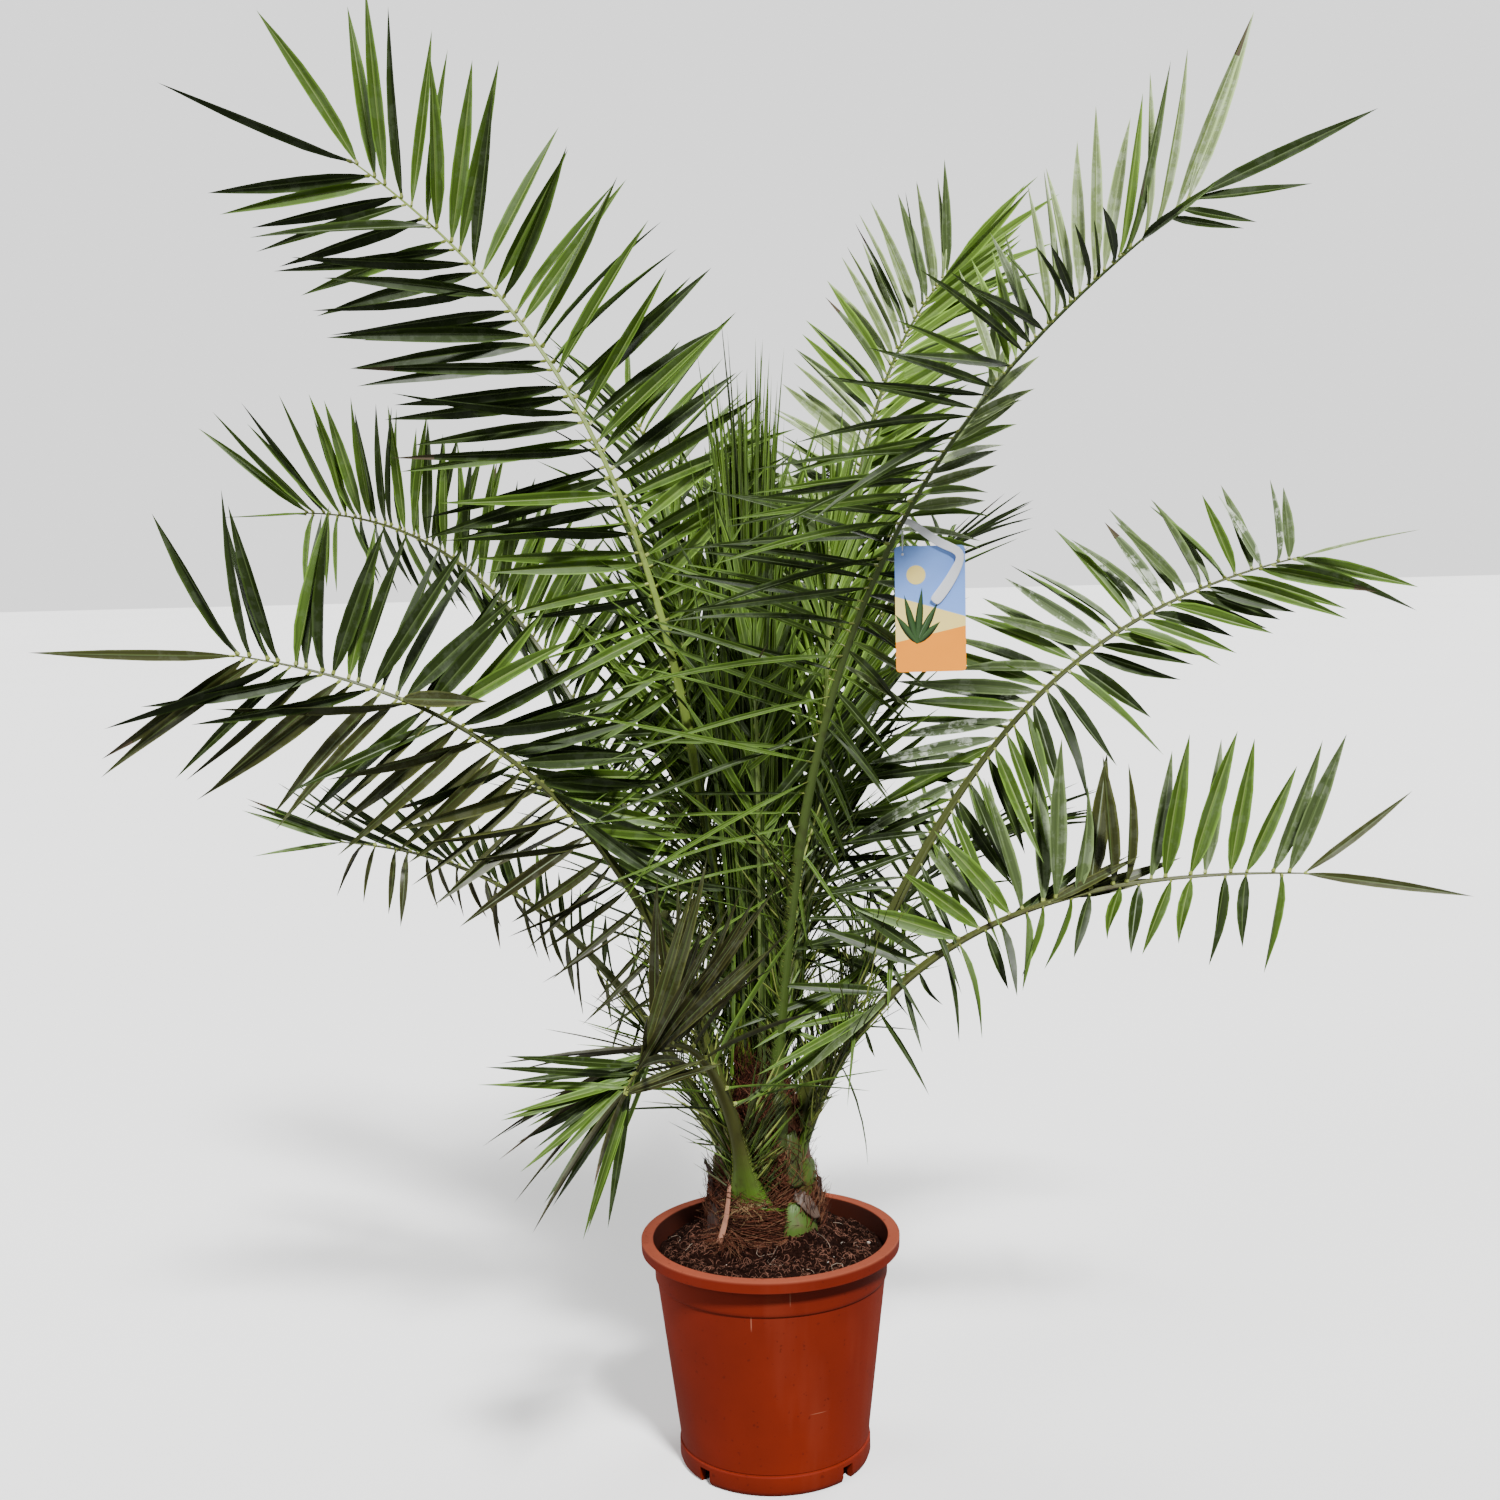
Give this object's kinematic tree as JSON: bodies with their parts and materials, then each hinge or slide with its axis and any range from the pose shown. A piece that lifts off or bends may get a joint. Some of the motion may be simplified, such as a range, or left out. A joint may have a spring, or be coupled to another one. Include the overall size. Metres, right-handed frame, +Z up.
{
  "type": "potted canary island date palm",
  "caption": "Young palm with long arching feather fronds and a short fibrous stem, growing in a round tapered nursery pot with a turned-down rim.",
  "frame": {"origin": "middle of the flat underside of the pot, on the ground", "axes": "+Z up along the pot's axis; -Y is the front, the side the camera faces; +X is the camera's right"},
  "size_m": [1.4999, 1.2151, 1.6099],
  "materials": {
    "pot": "semi-matt moulded plastic, terracotta orange-brown",
    "soil": "crumbly dark brown potting compost",
    "trunk": "netted red-brown leaf sheath fibre",
    "leaf_base": "dull green to dried grey-brown husk",
    "spear": "satin fresh green leaf",
    "frond": "satin green leaf with pale rib",
    "tag": "printed plastic card",
    "tag_band": "pale plain plastic band"
  },
  "bodies": {
    "root": {"frond_back_blade": "frond", "frond_back_left_blade": "frond", "frond_back_left_stalk": "frond", "frond_back_right_blade": "frond", "frond_back_right_stalk": "frond", "frond_back_stalk": "frond", "frond_low_back_blade": "frond", "frond_low_back_left_blade": "frond", "frond_low_back_left_stalk": "frond", "frond_low_back_right_blade": "frond", "frond_low_back_right_stalk": "frond", "frond_low_back_stalk": "frond", "frond_low_front_blade": "frond", "frond_low_front_stalk": "frond", "frond_low_left_back_blade": "frond", "frond_low_left_back_stalk": "frond", "frond_low_right_blade": "frond", "frond_low_right_stalk": "frond", "frond_mid_left_back_blade": "frond", "frond_mid_left_back_stalk": "frond", "frond_mid_left_blade": "frond", "frond_mid_left_stalk": "frond", "frond_mid_right_blade": "frond", "frond_mid_right_stalk": "frond", "frond_upper_back_blade": "frond", "frond_upper_back_stalk": "frond", "frond_upper_left_blade": "frond", "frond_upper_left_stalk": "frond", "frond_upper_right_blade": "frond", "frond_upper_right_stalk": "frond", "leaf_base_back": "leaf_base", "leaf_base_front_right": "leaf_base", "leaf_base_left": "leaf_base", "leaf_base_right": "leaf_base", "pot": "pot", "soil": "soil", "spear": "spear", "tag": "tag", "tag_band": "tag_band", "trunk": "trunk"}
  },
  "joints": []
}
